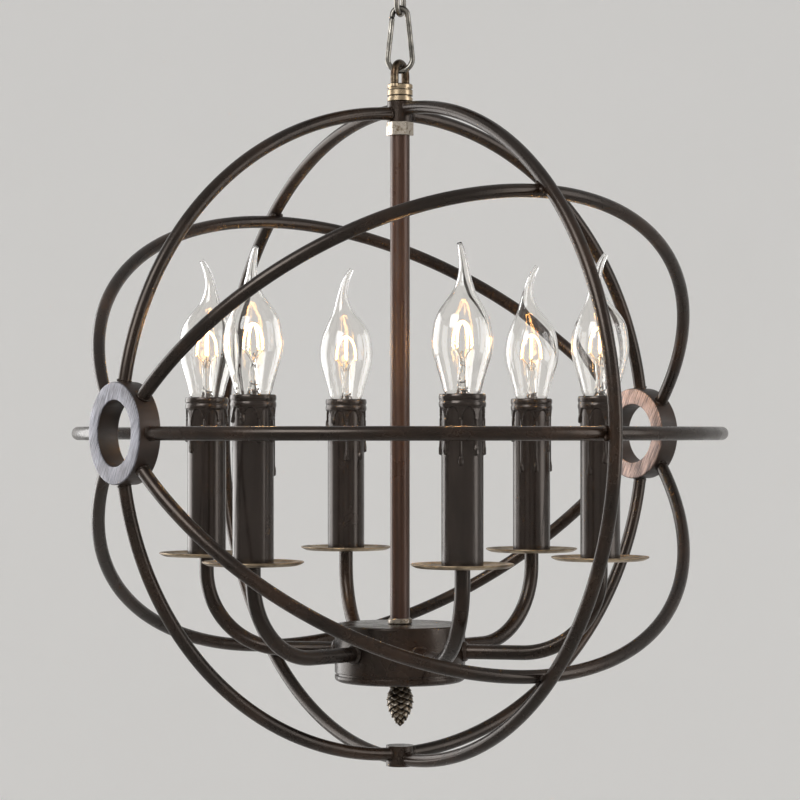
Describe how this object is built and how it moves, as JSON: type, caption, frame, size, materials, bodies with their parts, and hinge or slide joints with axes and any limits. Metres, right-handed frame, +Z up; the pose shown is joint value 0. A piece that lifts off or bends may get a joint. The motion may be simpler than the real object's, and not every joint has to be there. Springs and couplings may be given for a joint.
{
  "type": "orb chandelier",
  "caption": "Open globe chandelier of welded round-bar hoops with candle-style lights on curved arms, hung from a snap hook, chain link and ceiling rose.",
  "frame": {"origin": "middle of the ceiling rose's top face, against the ceiling", "axes": "+Z up, +X along the axis through the open hubs towards the right-hand hub, +Y away from the front"},
  "size_m": [0.4016, 0.416, 0.5184],
  "materials": {
    "dark_bronze": "oil-rubbed dark bronze, satin",
    "worn_bronze": "dark bronze with worn, brushed faces",
    "stem_bronze": "warm brown bronze, satin",
    "cast_bronze": "dark cast relief",
    "antique_brass": "aged, satin",
    "dark_steel": "darkened steel",
    "plated_steel": "plated",
    "holder_plastic": "moulded",
    "sleeve_black": "satin black-brown with wax drips",
    "clear_glass": "clear blown glass",
    "cap_metal": "rolled thread"
  },
  "bodies": {
    "ceiling": {"ceiling_rose": "dark_bronze", "ceiling_eye": "dark_steel"},
    "link": {"chain_link": "dark_steel"},
    "hook": {"snap_hook": "dark_steel"},
    "gate": {"snap_hook_gate": "dark_steel"},
    "bulb_1": {"bulb_glass_1": "clear_glass", "bulb_cap_1": "cap_metal"},
    "bulb_2": {"bulb_glass_2": "clear_glass", "bulb_cap_2": "cap_metal"},
    "bulb_3": {"bulb_glass_3": "clear_glass", "bulb_cap_3": "cap_metal"},
    "bulb_4": {"bulb_glass_4": "clear_glass", "bulb_cap_4": "cap_metal"},
    "bulb_5": {"bulb_glass_5": "clear_glass", "bulb_cap_5": "cap_metal"},
    "bulb_6": {"bulb_glass_6": "clear_glass", "bulb_cap_6": "cap_metal"},
    "orb": {"hub_left": "worn_bronze", "hub_right": "worn_bronze", "top_pole_block": "dark_bronze", "bottom_pole_block": "dark_bronze", "level_hoop_front": "dark_bronze", "level_hoop_rear": "dark_bronze", "tilted_hoop_a_upper_arc": "dark_bronze", "tilted_hoop_a_lower_arc": "dark_bronze", "tilted_hoop_b_upper_arc": "dark_bronze", "tilted_hoop_b_lower_arc": "dark_bronze", "cross_hoop_front": "dark_bronze", "cross_hoop_rear": "dark_bronze", "upright_hoop_top_left": "dark_bronze", "upright_hoop_top_right": "dark_bronze", "upright_hoop_bottom_left": "dark_bronze", "upright_hoop_bottom_right": "dark_bronze", "pot_shell": "dark_bronze", "pot_lid": "dark_bronze", "arm_1": "dark_bronze", "arm_2": "dark_bronze", "arm_3": "dark_bronze", "arm_4": "dark_bronze", "arm_5": "dark_bronze", "arm_6": "dark_bronze", "stem_tube": "stem_bronze", "stem_top_nut": "antique_brass", "stem_foot_nut": "antique_brass", "screw_loop": "antique_brass", "drip_pan_1": "antique_brass", "drip_pan_2": "antique_brass", "drip_pan_3": "antique_brass", "drip_pan_4": "antique_brass", "drip_pan_5": "antique_brass", "drip_pan_6": "antique_brass", "pine_cone_finial": "cast_bronze", "arm_nuts": "plated_steel", "lamp_holders": "holder_plastic", "candle_sleeve_1": "sleeve_black", "candle_sleeve_2": "sleeve_black", "candle_sleeve_3": "sleeve_black", "candle_sleeve_4": "sleeve_black", "candle_sleeve_5": "sleeve_black", "candle_sleeve_6": "sleeve_black"}
  },
  "joints": [
    {"name": "link_swing", "type": "hinge", "parent": "ceiling", "child": "link", "pos_m": [0, 0, -0.0387], "axis": [0.809, -0.5878, 0], "range_deg": [-20, 20]},
    {"name": "hook_swing", "type": "hinge", "parent": "link", "child": "hook", "pos_m": [0, 0, -0.0573], "axis": [0.829, 0.5592, 0], "range_deg": [-20, 20]},
    {"name": "orb_swing", "type": "hinge", "parent": "hook", "child": "orb", "pos_m": [0, 0, -0.0922], "axis": [0.809, -0.5878, 0], "range_deg": [-20, 20]},
    {"name": "gate_open", "type": "hinge", "parent": "hook", "child": "gate", "pos_m": [-0.00405, 0.00295, -0.06079], "axis": [-0.5878, -0.809, 0], "range_deg": [0, 25], "stiffness_Nm_per_rad": 0.02, "springref_deg": -11.46},
    {"name": "bulb_1_unscrew", "type": "hinge", "parent": "orb", "child": "bulb_1", "pos_m": [0.12172, 0.02366, -0.2983], "axis": [0, 0, 1], "range_deg": [0, 360]},
    {"name": "bulb_2_unscrew", "type": "hinge", "parent": "orb", "child": "bulb_2", "pos_m": [0.04037, 0.11724, -0.2983], "axis": [0, 0, 1], "range_deg": [0, 360]},
    {"name": "bulb_3_unscrew", "type": "hinge", "parent": "orb", "child": "bulb_3", "pos_m": [-0.08135, 0.09358, -0.2983], "axis": [0, 0, 1], "range_deg": [0, 360]},
    {"name": "bulb_4_unscrew", "type": "hinge", "parent": "orb", "child": "bulb_4", "pos_m": [-0.12172, -0.02366, -0.2983], "axis": [0, 0, 1], "range_deg": [0, 360]},
    {"name": "bulb_5_unscrew", "type": "hinge", "parent": "orb", "child": "bulb_5", "pos_m": [-0.04037, -0.11724, -0.2983], "axis": [0, 0, 1], "range_deg": [0, 360]},
    {"name": "bulb_6_unscrew", "type": "hinge", "parent": "orb", "child": "bulb_6", "pos_m": [0.08135, -0.09358, -0.2983], "axis": [0, 0, 1], "range_deg": [0, 360]}
  ]
}
